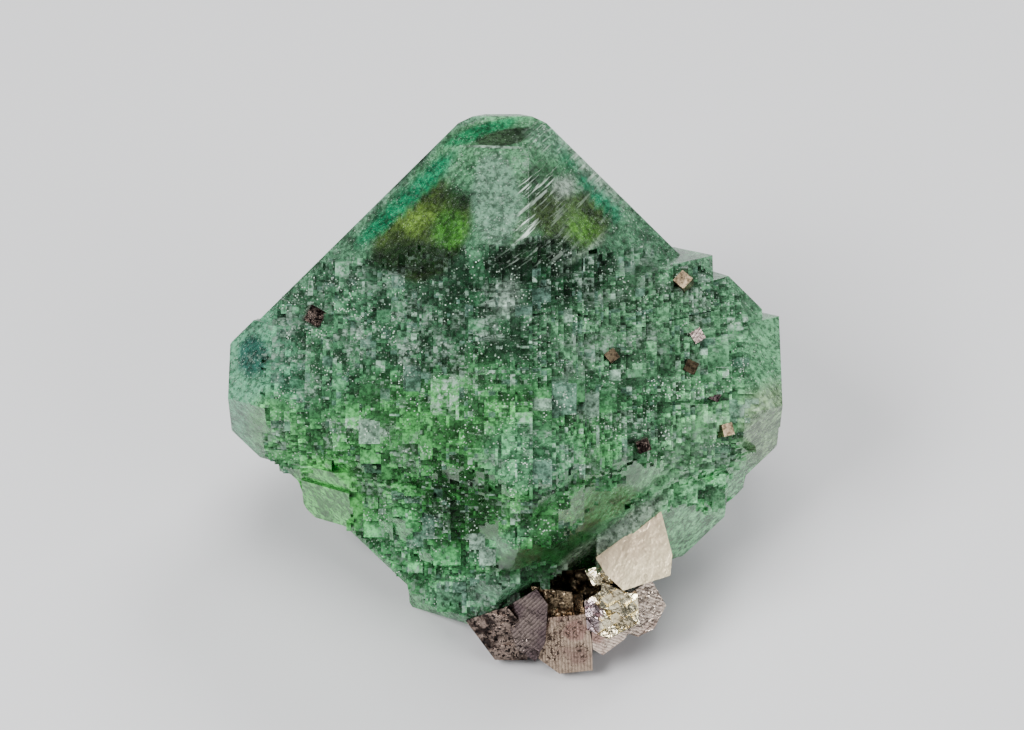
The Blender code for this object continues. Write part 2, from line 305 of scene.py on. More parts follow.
@dataclass(frozen=True)
class FluoriteFinish:
    """Green fluorite, clear inside and frosted where it is stepped."""

    ior: float = 1.434
    clear: float = 0.52
    frosted: float = 0.10
    absorption: Colour = (0.30, 0.86, 0.52)
    density: float = 120.0
    # Colour of the painted glints: white specks that stand in for light caught by the small steps.
    painted_glint: Colour = (0.66, 0.80, 0.68)
    frost: Colour = (0.36, 0.50, 0.41)
    # The darkest and the palest tone of the clouds and of the finer mottling.
    cloud_tones: tuple[Colour, Colour] = ((0.30, 0.33, 0.30), (1.22, 1.28, 1.22))
    mottle_tones: tuple[Colour, Colour] = ((0.42, 0.45, 0.42), (1.45, 1.45, 1.45))
    mottling: float = 0.9
    fine_cells: float = 4300.0
    mid_cells: float = 1900.0
    cloud_scale: float = 520.0
    mottle_scale: float = 2100.0
    grit_scale: float = 1700.0
    patch_scale: float = 330.0
    swell_scale: float = 800.0
    streak_turn: float = math.radians(34.0)
    streak_stretch: Colour = (150.0, 260.0, 3200.0)

    def make(self) -> Material:
        """Builds the material: painted zones, mottling, white specks that are painted glints of the small steps,
        frost and fine relief.
        """
        s = Shade("fluorite_green")
        frost, rough, glint_share, streaky = s.channels("grain")
        fine, mid = s.cells(self.fine_cells, s.axes()), s.cells(self.mid_cells, s.axes())

        cloud = s.ramp(s.noise(self.cloud_scale, 4.0, 0.72), 0.32, 0.66)
        mottle = s.ramp(s.noise(self.mottle_scale, 2.0, 0.7), 0.35, 0.63)
        body = s.add("VertexColor", layer_name="zone").outputs["Color"]
        for share, tones in ((cloud, self.cloud_tones), (mottle, self.mottle_tones)):
            body = s.blend(self.mottling, body, s.blend(share, *tones), "MULTIPLY")

        gritty = s.noise(self.grit_scale, 3.0, 0.75)
        haze = s.times(frost, s.ramp(gritty, 0.46, 0.60), 0.85)
        # Painted glints: larger pale squares in the frost colour and small white dots, where the small steps would
        # catch the light; the streaks take the same white.
        pale = s.times(s.ramp(mid.outputs["Color"], 0.74, 0.86), glint_share)
        square = s.times(s.ramp(mid.outputs["Distance"], 0.26, 0.36, flip=True), pale, 0.42)
        patchy = s.ramp(s.noise(self.patch_scale, 2.0, 0.7), 0.37, 0.61)
        dots = s.times(s.ramp(fine.outputs["Color"], 0.58, 0.74), glint_share)
        near = s.ramp(fine.outputs["Distance"], 0.16, 0.34, flip=True)
        sparkle = s.times(dots, near, s.number("ADD", s.times(patchy, 0.8), 0.2))
        sparkle = s.number("MAXIMUM", sparkle, s.times(self.streaks(s), streaky))
        for share, colour in ((haze, self.frost), (square, self.frost), (sparkle, self.painted_glint)):
            body = s.blend(share, body, colour)

        solid = s.number("MAXIMUM", s.number("MAXIMUM", haze, sparkle), s.times(rough, 0.45))
        dull = s.number("ADD", s.times(gritty, 0.22), 0.10)
        relief = s.bump(s.noise(self.swell_scale, 3.0, 0.7), 0.16, 0.35)
        relief = s.bump(mid.outputs["Color"], 0.10, 0.55, relief)
        s.principled(
            {"IOR": self.ior, "Specular IOR Level": 0.5},
            Base_Color=body,
            Transmission_Weight=s.spread(solid, self.clear, self.frosted),
            Roughness=s.number("ADD", dull, s.times(frost, 0.25)),
            Normal=s.bump(fine.outputs["Color"], 0.06, 0.6, relief),
        )
        inside = s.add("VolumeAbsorption", {"Color": (*self.absorption, 1.0), "Density": self.density})
        s.join(inside.outputs["Volume"], s.output.inputs["Volume"])
        return s.material

    def streaks(self, s: Shade) -> Socket:
        """Thin uneven lines that rise to the right, as on a shell-like break."""
        turned = s.mapped(s.axes(), "Rotation", (0.0, self.streak_turn, 0.0))
        stretched = s.mapped(turned, "Scale", self.streak_stretch)
        return s.ramp(s.noise(1.0, 3.0, 0.6, stretched), 0.53, 0.62)


class PyriteLook(Enum):
    """The ways the pyrite crystals are finished."""

    GOLD = "gold"
    BRIGHT = "bright"
    # Pinkish pyrite, painted brighter as if strongly lit.
    PINK_WITH_PAINTED_LIGHT = "pink"
    GREY = "grey"
    PITTED = "pitted"
    DARK = "dark"
    BROWN = "brown"
    FOOT = "foot"


@dataclass(frozen=True)
class PyriteFinish:
    """Metallic pyrite, with a second tint in clouds and fine striations."""

    base: Colour
    tint: Colour
    spot_and_shade: Colour
    roughness: float
    clouds: float
    striation: float
    angle: float
    pits: float
    stain: Colour = (0.44, 0.26, 0.22)
    pit_scale: float = 2600.0
    relief_scale: float = 1500.0
    gloss_scale: float = 700.0

    def make(self, name: str) -> Material:
        """Builds the material: clouds of a second tint, dark spots, painted shade down the crystal's sides, fine
        lines and pits.
        """
        s = Shade(name)
        pitted, stained, painted_side_shade, _ = s.channels("wear")
        lines = self.lines(s)
        rough = s.noise(self.pit_scale, 4.0, 0.72)
        spots = s.times(s.ramp(rough, 0.50, 0.57), s.number("MAXIMUM", pitted, self.pits))
        body = s.blend(s.ramp(s.noise(self.clouds, 4.0, 0.6), 0.42, 0.62), self.base, self.tint)
        body = s.blend(s.times(stained, 0.85), body, self.stain)
        body = s.blend(s.times(lines, 0.45 * self.striation), body, self.spot_and_shade)
        gloss = s.noise(self.gloss_scale)
        relief = s.bump(lines, 0.05, self.striation)
        relief = s.bump(s.noise(self.relief_scale, 4.0, 0.7), 0.10, 0.2 + 0.5 * self.pits, relief)
        # The sides take the dark colour as painted shade, as in the gaps between the crystals.
        s.principled(
            {"Metallic": 1.0},
            Base_Color=s.blend(s.number("MAXIMUM", spots, painted_side_shade), body, self.spot_and_shade),
            Roughness=s.spread(gloss, self.roughness * 0.75, min(1.0, self.roughness * 1.4)),
            Normal=s.bump(s.times(rough, pitted), 0.16, 1.0, relief),
        )
        return s.material

    def lines(self, s: Shade) -> Socket:
        """Fine growth lines across the face, at the finish's own angle."""
        turned = s.mapped(s.axes(), "Rotation", (0.0, self.angle, 0.0))
        constants = {"Scale": 1000.0, "Distortion": 2.8, "Detail": 3.0, "Detail Scale": 1.5}
        return s.read("TexWave", turned, constants, bands_direction="X", wave_profile="SAW").outputs["Fac"]


# Base colour, tint, colour of the spots and of the painted shade down the sides, roughness, scale of the clouds,
# striation, its angle, pits and, if any, stain.
PYRITE_FINISHES: dict[PyriteLook, PyriteFinish] = {
    PyriteLook.GOLD: PyriteFinish(
        (0.86, 0.73, 0.48), (0.82, 0.65, 0.44), (0.36, 0.26, 0.16), 0.30, 130.0, 0.40, 0.9, 0.15
    ),
    PyriteLook.BRIGHT: PyriteFinish(
        (0.95, 0.86, 0.60), (0.66, 0.56, 0.36), (0.05, 0.036, 0.02), 0.18, 420.0, 0.25, 0.4, 0.55, (0.30, 0.22, 0.28)
    ),
    # Pinkish pyrite with painted light: its base is raised for the strong light on the right and pink cubes.
    PyriteLook.PINK_WITH_PAINTED_LIGHT: PyriteFinish(
        (0.95, 0.80, 0.66), (0.70, 0.50, 0.42), (0.10, 0.06, 0.05), 0.24, 330.0, 1.6, 1.2, 0.50
    ),
    PyriteLook.FOOT: PyriteFinish(
        (0.58, 0.44, 0.33), (0.40, 0.27, 0.22), (0.06, 0.04, 0.03), 0.24, 330.0, 1.5, 0.05, 0.4
    ),
    PyriteLook.GREY: PyriteFinish(
        (0.30, 0.235, 0.210), (0.15, 0.108, 0.112), (0.022, 0.015, 0.015), 0.24, 260.0, 1.7, -0.7, 0.4
    ),
    PyriteLook.PITTED: PyriteFinish(
        (0.32, 0.24, 0.20), (0.035, 0.024, 0.021), (0.006, 0.004, 0.004), 0.20, 900.0, 0.3, 0.5, 1.0
    ),
    # Dark pyrite: painted shade in the recess behind the crystals, and the colour of some of the grains.
    PyriteLook.DARK: PyriteFinish(
        (0.115, 0.088, 0.055), (0.045, 0.034, 0.022), (0.010, 0.007, 0.005), 0.30, 700.0, 0.3, 0.2, 0.8
    ),
    PyriteLook.BROWN: PyriteFinish(
        (0.36, 0.27, 0.17), (0.16, 0.12, 0.075), (0.030, 0.021, 0.013), 0.26, 520.0, 0.5, -0.5, 0.7
    ),
}


@dataclass(frozen=True)
class Block:
    """A convex piece of the crystal, as faces: normal x, y, z and reach along that normal."""

    faces: tuple[Plane, ...]

    def span(self, x: Array, z: Array) -> tuple[Array, Array, Mask]:
        """How far the piece reaches to the front and to the back at each place of the plane across it.

        Args:
            x: places to the right.
            z: places upwards.

        Returns:
            The front reach, the back reach and whether the piece is there: each face gives reach minus the
            part that x and z use up, over how much it leans to the front or back, and the least one holds.
        """
        front = np.full(x.shape, FAR)
        back = np.full(x.shape, FAR)
        inside = np.full(x.shape, FAR)
        for nx, ny, nz, reach in self.faces:
            left = reach - nx * x - nz * z
            if ny < 0:
                front = np.minimum(front, left / -ny)
            elif ny > 0:
                back = np.minimum(back, left / ny)
            else:
                inside = np.minimum(inside, left)
        there = (inside >= -HAIR) & (front + back >= -HAIR)
        return front, back, there


def octahedral(reaches: dict[tuple[int, int], float]) -> list[Plane]:
    """The eight octahedral faces, with a reach for each pair of sides."""
    return [(sx, sy, sz, reach) for (sx, sz), reach in reaches.items() for sy in (-1, 1)]


@dataclass
class Fluorite:
    """The green fluorite: a blunted octahedron, raised blocks and a crust of small cubes.

    A facing of -1 is the front and 1 the back.
    """

    reach: dict[tuple[int, int], float] = field(
        default_factory=lambda: {(-1, 1): 32.4, (1, 1): 29.9, (-1, -1): 31.6, (1, -1): 32.4}
    )
    # Reach of the corners: left, right, top, bottom, front, back.
    tips: tuple[float, ...] = (28.4, 26.3, 27.3, 23.0, 28.4, 26.6)
    ridge_reach: float = 28.6
    crown_front: Plane = (0.0, -0.467, 0.884, 23.7)
    crown_back: Plane = (0.0, 0.242, 0.970, 27.0)
    contact: Plane = (0.493, -0.482, -0.724, 18.1)
    # Raised blocks: x from, x to, y from, y to, z from, z to, octahedral reach.
    blocks: dict[str, tuple[float, ...]] = field(
        default_factory=lambda: {
            "left_tip": (-28.4, -18.0, -9.0, 9.0, -7.3, 6.9, 32.9),
            "right_tip": (15.0, 26.3, -9.0, 9.0, -3.0, 7.3, 33.6),
            "right_corner": (18.0, 24.4, -9.5, 8.0, -5.4, 1.0, 33.4),
            "right_shoulder": (6.0, 24.6, -14.5, 13.0, 2.0, 11.4, 32.6),
            "shoulder_top": (9.0, 19.6, -9.0, 8.0, 9.0, 13.5, 33.2),
            "lower_right": (8.0, 21.2, -11.0, 12.0, -17.6, -7.5, 34.6),
            "right_step": (13.0, 23.0, -12.0, 8.0, -11.5, -4.6, 33.5),
            "lower_left": (-21.3, -12.0, -10.0, 9.0, -13.6, -8.6, 33.7),
            "lower_left_step": (-23.6, -15.0, -9.0, 6.0, -8.4, -6.4, 33.2),
            "bottom_left": (-10.7, -2.5, -8.0, 4.0, -23.0, -16.5, 33.4),
            "bottom_ledge": (-9.2, 0.5, -9.0, 0.0, -21.4, -17.5, 33.8),
            "left_shoulder": (-23.2, -12.0, -13.0, 8.0, 2.0, 9.2, 33.2),
            "left_shoulder_top": (-18.4, -11.0, -9.0, 6.0, 8.0, 13.4, 33.0),
            "front_left_plate": (-7.8, -4.8, -18.4, -12.0, 6.9, 9.9, 60.0),
            "front_left_step": (-9.0, -5.6, -20.2, -12.0, 2.2, 4.4, 34.8),
            "front_top_plate": (-2.9, 0.2, -20.7, -12.0, 6.8, 9.4, 60.0),
            "front_right_plate": (1.4, 5.8, -22.6, -12.0, 3.0, 5.2, 34.4),
            "front_low_plate": (-1.6, 6.6, -24.0, -10.0, -9.8, -3.4, 34.0),
            "low_wall": (-12.5, -6.2, -20.5, -8.0, -15.5, -5.6, 33.2),
            "back_upper": (-9.0, 7.0, 8.0, 24.0, 3.0, 15.0, 34.2),
            "back_left": (-19.0, -6.5, 6.0, 18.0, -6.0, 5.5, 33.6),
            "back_right": (5.5, 17.5, 7.0, 19.0, -7.5, 3.5, 34.2),
            "back_low": (-8.0, 5.0, 8.0, 21.0, -13.5, -4.0, 33.4),
            "back_plate": (-3.5, 3.0, 20.0, 27.2, -2.6, 3.2, 60.0),
        }
    )
    # Crust of cubes: octant signs, how many, smallest and largest side, lowest and highest place.
    crust: tuple[tuple[tuple[int, int, int], int, float, float, float, float], ...] = (
        ((-1, -1, 1), 100, 0.9, 2.4, 0.8, 13.5),
        ((1, -1, 1), 90, 0.9, 2.3, 0.8, 12.5),
        ((-1, -1, -1), 40, 0.8, 1.9, 0.5, 9.0),
        ((1, -1, -1), 30, 0.8, 1.9, 0.5, 7.5),
        ((-1, 1, 1), 46, 1.3, 3.4, 0.8, 21.0),
        ((1, 1, 1), 46, 1.3, 3.4, 0.8, 21.0),
        ((-1, 1, -1), 30, 1.3, 3.0, 0.8, 15.0),
        ((1, 1, -1), 30, 1.3, 3.0, 0.8, 15.0),
    )
    crust_seed: int = 11
    cube_sink: float = 0.45
    cube_stretch: float = 0.35
    edge_keep: float = 2.5
    ridge_keep: float = 0.5
    contact_keep: float = 0.4
    # Half the width of the strip between two cells.
    strip: float = 0.018
    fine_cell: tuple[float, float] = (0.28, 0.58)
    wide_cell: tuple[float, float] = (0.50, 0.86)
    # Where the cells are small, and how close a random border may come to a fixed one.
    fine_x: tuple[float, float] = (-21.0, 20.0)
    fine_z: tuple[float, float] = (-9.0, 16.5)
    line_keep: float = 0.14
    least_x: float = 0.12
    least_z: float = 0.06
    line_seeds: tuple[int, int] = (3, 4)
    # Sides of the pale strip below the top, and the rows across the crown.
    strip_sides: tuple[float, float] = (-3.8, 1.3)
    crown_from: float = 24.6
    crown_row: float = 0.075
    # Larger steps: cells to a side, share of the face and depth.
    plate_sizes: tuple[tuple[int, float, float], ...] = ((3, 0.38, 0.26), (5, 0.18, 0.40), (8, 0.06, 0.35))
    step_seed: int = 17
    # Size and seed of the noise that bends the edges of the stepped zones.
    zone_noise: tuple[float, int] = (6.0, 31)
    thinnest_step: float = 1.6
    thinnest: float = 0.6
    merge: float = 0.004
    # Samples along a row to find its ends, and how far inside them heights are read.
    row_samples: int = 3601
    row_keep: float = 0.002
    pieces: list[Block] = field(init=False)

    def __post_init__(self) -> None:
        """Makes the pieces: the body and its raised blocks."""
        self.pieces = [self.body()] + [self.raised(sides) for sides in self.blocks.values()]

    def ground(self) -> Plane:
        """The plane that the specimen stands on, in the crystal's axes."""
        return (0.0, math.sin(STANCE.lean), -math.cos(STANCE.lean), STANCE.middle[2])

    def body(self) -> Block:
        """The blunted octahedron."""
        left, right, top, bottom, front, back = self.tips
        faces = octahedral(self.reach)
        faces += [(-1, 0, 0, left), (1, 0, 0, right), (0, 0, 1, top), (0, 0, -1, bottom)]
        faces += [(0, -1, 0, front), (0, 1, 0, back), (0, -1, 1, self.ridge_reach)]
        faces += [self.crown_front, self.crown_back, self.contact, self.ground()]
        return Block(tuple(faces))

    def raised(self, sides: tuple[float, ...]) -> Block:
        """One raised block: a box, cut by octahedral faces where they pass through it."""
        x0, x1, y0, y1, z0, z1, reach = sides
        faces = [(-1, 0, 0, -x0), (1, 0, 0, x1), (0, -1, 0, -y0), (0, 1, 0, y1), (0, 0, -1, -z0), (0, 0, 1, z1)]
        faces += octahedral(dict.fromkeys(self.reach, reach))
        return Block((*faces, self.ground()))

    def face_point(self, rng: random.Random, signs: tuple[int, int, int], low: float, high: float) -> Vector:
        """A random point of an octahedral face, clear of the crystal's edges and of the pyrite."""
        sx, sy, sz = signs
        reach = self.reach[(sx, sz)]
        right, back = self.tips[1], self.tips[5]
        while True:
            z = rng.uniform(low, high)
            x = rng.uniform(self.edge_keep, reach - z - self.edge_keep)
            y = reach - z - x
            if y < self.edge_keep or x > right - self.edge_keep or y > back - self.edge_keep:
                continue
            if sy < 0 and z + y > self.ridge_reach - self.ridge_keep and sz > 0:
                continue
            point = Vector((sx * x, sy * y, sz * z))
            if point.dot(Vector(self.contact[:3])) < self.contact[3] - self.contact_keep:
                return point

    def crust_cubes(self) -> list[tuple[Vector, Vector]]:
        """Lowest and highest corner of each cube of the crust."""
        rng = random.Random(self.crust_seed)
        cubes = []
        for signs, count, small, large, low, high in self.crust:
            outward = Vector(signs).normalized()
            for _ in range(count):
                side = small + (large - small) * rng.random() ** 2
                middle = self.face_point(rng, signs, low, high) - outward * side * self.cube_sink
                half = Vector([side / 2 * (1 + self.cube_stretch * rng.uniform(-1, 1)) for _ in range(3)])
                cubes.append((middle - half, middle + half))
        return cubes

    def lines(self, low: float, high: float, fixed: list[float], fine: tuple[float, float], seed: int) -> Array:
        """Places of the cell borders along one axis: fixed ones, with random steps between them.

        Args:
            low: first border.
            high: last border.
            fixed: borders that have to be there.
            fine: the range in which the small cells lie.
            seed: for the random steps.

        Returns:
            Rising places, the random ones clear of the fixed ones.
        """
        rng = random.Random(seed)
        places = [low]
        while places[-1] < high:
            size = self.fine_cell if fine[0] < places[-1] < fine[1] else self.wide_cell
            places.append(places[-1] + rng.uniform(*size))
        kept = sorted({round(p, 3) for p in fixed if low <= p <= high} | {low, high})
        free = [p for p in places if min(abs(p - k) for k in kept) > self.line_keep]
        return np.array(sorted(kept + free))

    @staticmethod
    def spaced(places: list[float], least: float) -> list[float]:
        """Drops places that lie closer than least to the one before."""
        kept: list[float] = []
        for place in sorted(places):
            if not kept or place - kept[-1] >= least:
                kept.append(float(place))
        return kept

    def twice(self, borders: Array) -> Array:
        """Each inner border as the two sides of a strip, so that every cell has corners of its own."""
        sides = np.repeat(borders, 2)[1:-1] + np.tile([self.strip, -self.strip], len(borders) - 1)
        sides[0], sides[-1] = borders[0], borders[-1]
        return sides

    def build(self) -> Object:
        """Builds both sheets and the walls between them, and colours them."""
        left, right, top, bottom = self.tips[:4]
        fixed_x = [v for sides in self.blocks.values() for v in sides[:2]] + [*self.strip_sides, 0.0]
        fixed_z = [v for sides in self.blocks.values() for v in sides[4:6]] + [0.0]
        fixed_z += list(np.arange(self.crown_from, top, self.crown_row))
        xs = self.lines(-left, right, self.spaced(fixed_x, self.least_x), self.fine_x, self.line_seeds[0])
        zs = self.lines(-bottom, top, self.spaced(fixed_z, self.least_z), self.fine_z, self.line_seeds[1])
        inside = self.cells_inside(xs, *self.outline(zs))

        pz = self.twice(zs)
        row_left, row_right = (ends[:, None] for ends in self.outline(pz))
        gx, gz = np.meshgrid(self.twice(xs), pz)
        gx = np.clip(gx, row_left, row_right)
        front, back = self.heights(np.clip(gx, row_left + self.row_keep, row_right - self.row_keep), gz)
        rough, tint, front = self.steps(xs, zs, inside, front, back, facing=-1)
        back_rough, back_tint, back = self.steps(xs, zs, inside, back, front, facing=1)
        return self.mesh(gx, gz, front, back, inside, np.stack([rough, back_rough]), np.stack([tint, back_tint]))

    def outline(self, rows: Array) -> tuple[Array, Array]:
        """Left and right end of the crystal at each height, read off a close row of samples."""
        xs = np.linspace(-self.tips[0], self.tips[1], self.row_samples)
        gx, gz = np.meshgrid(xs, rows)
        there = np.zeros(gx.shape, bool)
        for piece in self.pieces:
            there |= piece.span(gx, gz)[2]
        some = there.any(axis=1)
        first = np.where(some, xs[there.argmax(axis=1)], 0.0)
        last = np.where(some, xs[len(xs) - 1 - there[:, ::-1].argmax(axis=1)], 0.0)
        return first, last

    @staticmethod
    def cells_inside(xs: Array, left: Array, right: Array) -> Mask:
        """Which cells the crystal reaches, one row per pair of heights."""
        low = np.minimum(left[:-1], left[1:])[:, None]
        high = np.maximum(right[:-1], right[1:])[:, None]
        return (xs[None, 1:] > low + 1e-4) & (xs[None, :-1] < high - 1e-4)

    def heights(self, x: Array, z: Array) -> tuple[Array, Array]:
        """Front and back reach of all pieces together: the largest of each piece's own."""
        front = np.full(x.shape, -FAR)
        back = np.full(x.shape, -FAR)
        for piece in self.pieces:
            near, far, there = piece.span(x, z)
            front = np.where(there, np.maximum(front, near), front)
            back = np.where(there, np.maximum(back, far), back)
        missing = front < -FAR / 2
        return np.where(missing, 0.0, front), np.where(missing, 0.0, back)

    def stepped_zone(self, x: Array, z: Array, reach: Array, facing: int) -> Array:
        """How stepped the face is, from 0 to 1, at each place."""
        points = np.stack([x, np.full(x.shape, 7.0 * facing), z], axis=-1)
        wander = fractal_noise(points, *self.zone_noise) - 0.5
        if facing > 0:
            return ease(wander + 0.12, 0.0, 0.02)
        up = STANCE.view_up(-reach, z)
        band = ease(up + 5 * wander, -9.0, -6.5) * (1.0 - ease(up + 5 * wander + 0.10 * np.abs(x), 13.0, 14.5))
        lower = 0.95 * ease(wander, -0.12, -0.04) * (1.0 - ease(up, -11.0, -7.0))
        sides = ease(27.0 - np.abs(x + 1.0) + 3 * wander, 3.0, 5.0)
        beside = ease(x, 6.0, 8.0) * (1.0 - ease(up, -13.0, -11.0))
        beside = np.maximum(beside, (1.0 - ease(x, -17.0, -15.5)) * (1.0 - ease(up, -9.0, -8.0)))
        return np.clip(np.maximum(band, lower) * sides * (1.0 - beside), 0.0, 1.0)

    def steps(
        self, xs: Array, zs: Array, inside: Mask, reach: Array, other: Array, facing: int
    ) -> tuple[Array, Array, Array]:
        """Turns smooth faces into small flat steps where the crystal is stepped.

        Args:
            xs: cell borders to the right.
            zs: cell borders upwards.
            inside: which cells the crystal reaches.
            reach: the smooth reach at every corner.
            other: the reach the other way, which a step never crosses.
            facing: which side is stepped.

        Returns:
            How stepped each corner's cell is, a random tint of that step, and the new reach at every corner.
        """
        cx, cz = np.meshgrid((xs[1:] + xs[:-1]) / 2, (zs[1:] + zs[:-1]) / 2)
        rng = np.random.default_rng(self.step_seed + facing)
        both = self.heights(cx, cz)
        own = both[0 if facing < 0 else 1]
        stepped = self.stepped_zone(cx, cz, own, facing)
        level = own + rng.uniform(-0.20, 0.16, own.shape)
        tint = rng.random(own.shape)
        for size, share, depth in self.plate_sizes:
            plate, chosen, shade = self.plates(xs, zs, size, share, depth, rng, facing)
            level = np.where(chosen, plate, level)
            tint = np.where(chosen, shade, tint)
        for low, high in self.crust_cubes():
            if (low.y + high.y) * facing < 0:
                continue
            hit = (cx > low.x) & (cx < high.x) & (cz > low.z) & (cz < high.z)
            top = -low.y if facing < 0 else high.y
            level = np.where(hit, np.maximum(level, top), level)
            stepped = np.where(hit, 1.0, stepped)
        thick = own + both[1 if facing < 0 else 0] > self.thinnest_step
        flat = (stepped > rng.uniform(0.05, 0.95, own.shape)) & ~self.near_outline(inside) & inside & thick
        use = doubled(flat)
        new = np.where(use, np.maximum(doubled(level), self.thinnest - other), reach)
        return use.astype(float), doubled(tint), new

    def plates(
        self, xs: Array, zs: Array, size: int, share: float, depth: float, rng: np.random.Generator, facing: int
    ) -> tuple[Array, Mask, Array]:
        """Larger flat steps: groups of cells that share the reach at their middle, and a tint."""

        def group(borders: Array) -> tuple[Whole, Array]:
            """A rising group number for each cell, in runs of about the size asked for, and group middles."""
            count = len(borders) - 1
            runs = rng.integers(max(1, size - 2), size + 2, count)
            number = np.repeat(np.arange(count), runs)[:count]
            middle = (borders[1:] + borders[:-1]) / 2
            return number, np.bincount(number, middle) / np.maximum(np.bincount(number), 1)

        (gi, centre_x), (gj, centre_z) = group(xs), group(zs)
        reach = self.heights(*np.meshgrid(centre_x, centre_z))[0 if facing < 0 else 1]
        reach = reach + rng.uniform(-depth, depth * 0.6, reach.shape)
        chosen = rng.random(reach.shape) < share
        tint = rng.random(reach.shape)
        return reach[gj][:, gi], chosen[gj][:, gi], tint[gj][:, gi]

    @staticmethod
    def near_outline(inside: Mask) -> Mask:
        """Cells on the outline, or next to one that is."""
        core = np.pad(inside, 1)
        for _ in range(2):
            grown = core.copy()
            for axis in (0, 1):
                for way in (-1, 1):
                    grown &= np.roll(core, way, axis)
            core = grown
        return inside & ~core[1:-1, 1:-1]

    def mesh(
        self, gx: Array, gz: Array, front: Array, back: Array, inside: Mask, rough: Array, tint: Array
    ) -> Object:
        """Writes the two sheets and the wall around them as one closed mesh."""
        rows, cols = gx.shape
        cell = doubled(inside)
        quad = cell[:-1, :-1] & cell[1:, :-1] & cell[:-1, 1:] & cell[1:, 1:]
        number = np.arange(rows * cols).reshape(rows, cols)
        a, b, c, d = number[:-1, :-1], number[:-1, 1:], number[1:, 1:], number[1:, :-1]
        face = np.stack([a, b, c, d], axis=-1)[quad]
        padded = np.pad(quad, 1)
        sides = (
            (quad & ~padded[1:-1, :-2], d, a),
            (quad & ~padded[1:-1, 2:], b, c),
            (quad & ~padded[:-2, 1:-1], a, b),
            (quad & ~padded[2:, 1:-1], c, d),
        )
        shift = rows * cols
        faces = [face, face[:, ::-1] + shift]
        for mask, start, end in sides:
            s, e = start[mask], end[mask]
            faces.append(np.stack([e, s, s + shift, e + shift], axis=-1))
        sheets = [np.stack([gx, y, gz], axis=-1).reshape(-1, 3) for y in (-front, back)]
        used, packed = np.unique(np.concatenate(faces), return_inverse=True)
        crystal = np.concatenate(sheets)[used]
        world = STANCE.to_world(crystal)
        world[:, 2] = np.maximum(world[:, 2], 0.0)
        obj = put_in_scene("fluorite_look", world, packed.reshape(-1, 4))
        layers = FluoritePaint().colours(crystal, rough.ravel()[used], tint.ravel()[used], used < shift)
        for name, layer in zip(("zone", "grain"), layers):
            add_colours(obj, name, layer)
        close_mesh(obj, self.merge)
        return obj


@dataclass(frozen=True)
class Zone:
    """A coloured region of the crystal as it shows from the front: an oval with soft edges.

    The name says what it is for, clear keeps frost off it, and streak is its share of streaks.
    """

    name: str
    right: float
    up: float
    wide: float
    high: float
    colour: Colour
    strength: float = 1.0
    turn: float = 0.0
    edge: float = 0.35
    clear: bool = False
    streak: float = 0.0

    def share(self, right: Array, up: Array, wander: Array) -> Array:
        """How much of the zone's colour a place has: falls from 1 inside to 0 past an oval's edge.

        Args:
            right: places to the right of the middle.
            up: places above the middle.
            wander: noise that makes the edge uneven.

        Returns:
            The share, from 0 to the zone's strength.
        """
        c, s = math.cos(math.radians(self.turn)), math.sin(math.radians(self.turn))
        dx, dy = right - self.right, up - self.up
        along, across = c * dx + s * dy, -s * dx + c * dy
        distance = np.hypot(along / self.wide, across / self.high) + 0.5 * wander
        return self.strength * (1.0 - ease(distance, 1.0 - self.edge, 1.0 + self.edge))


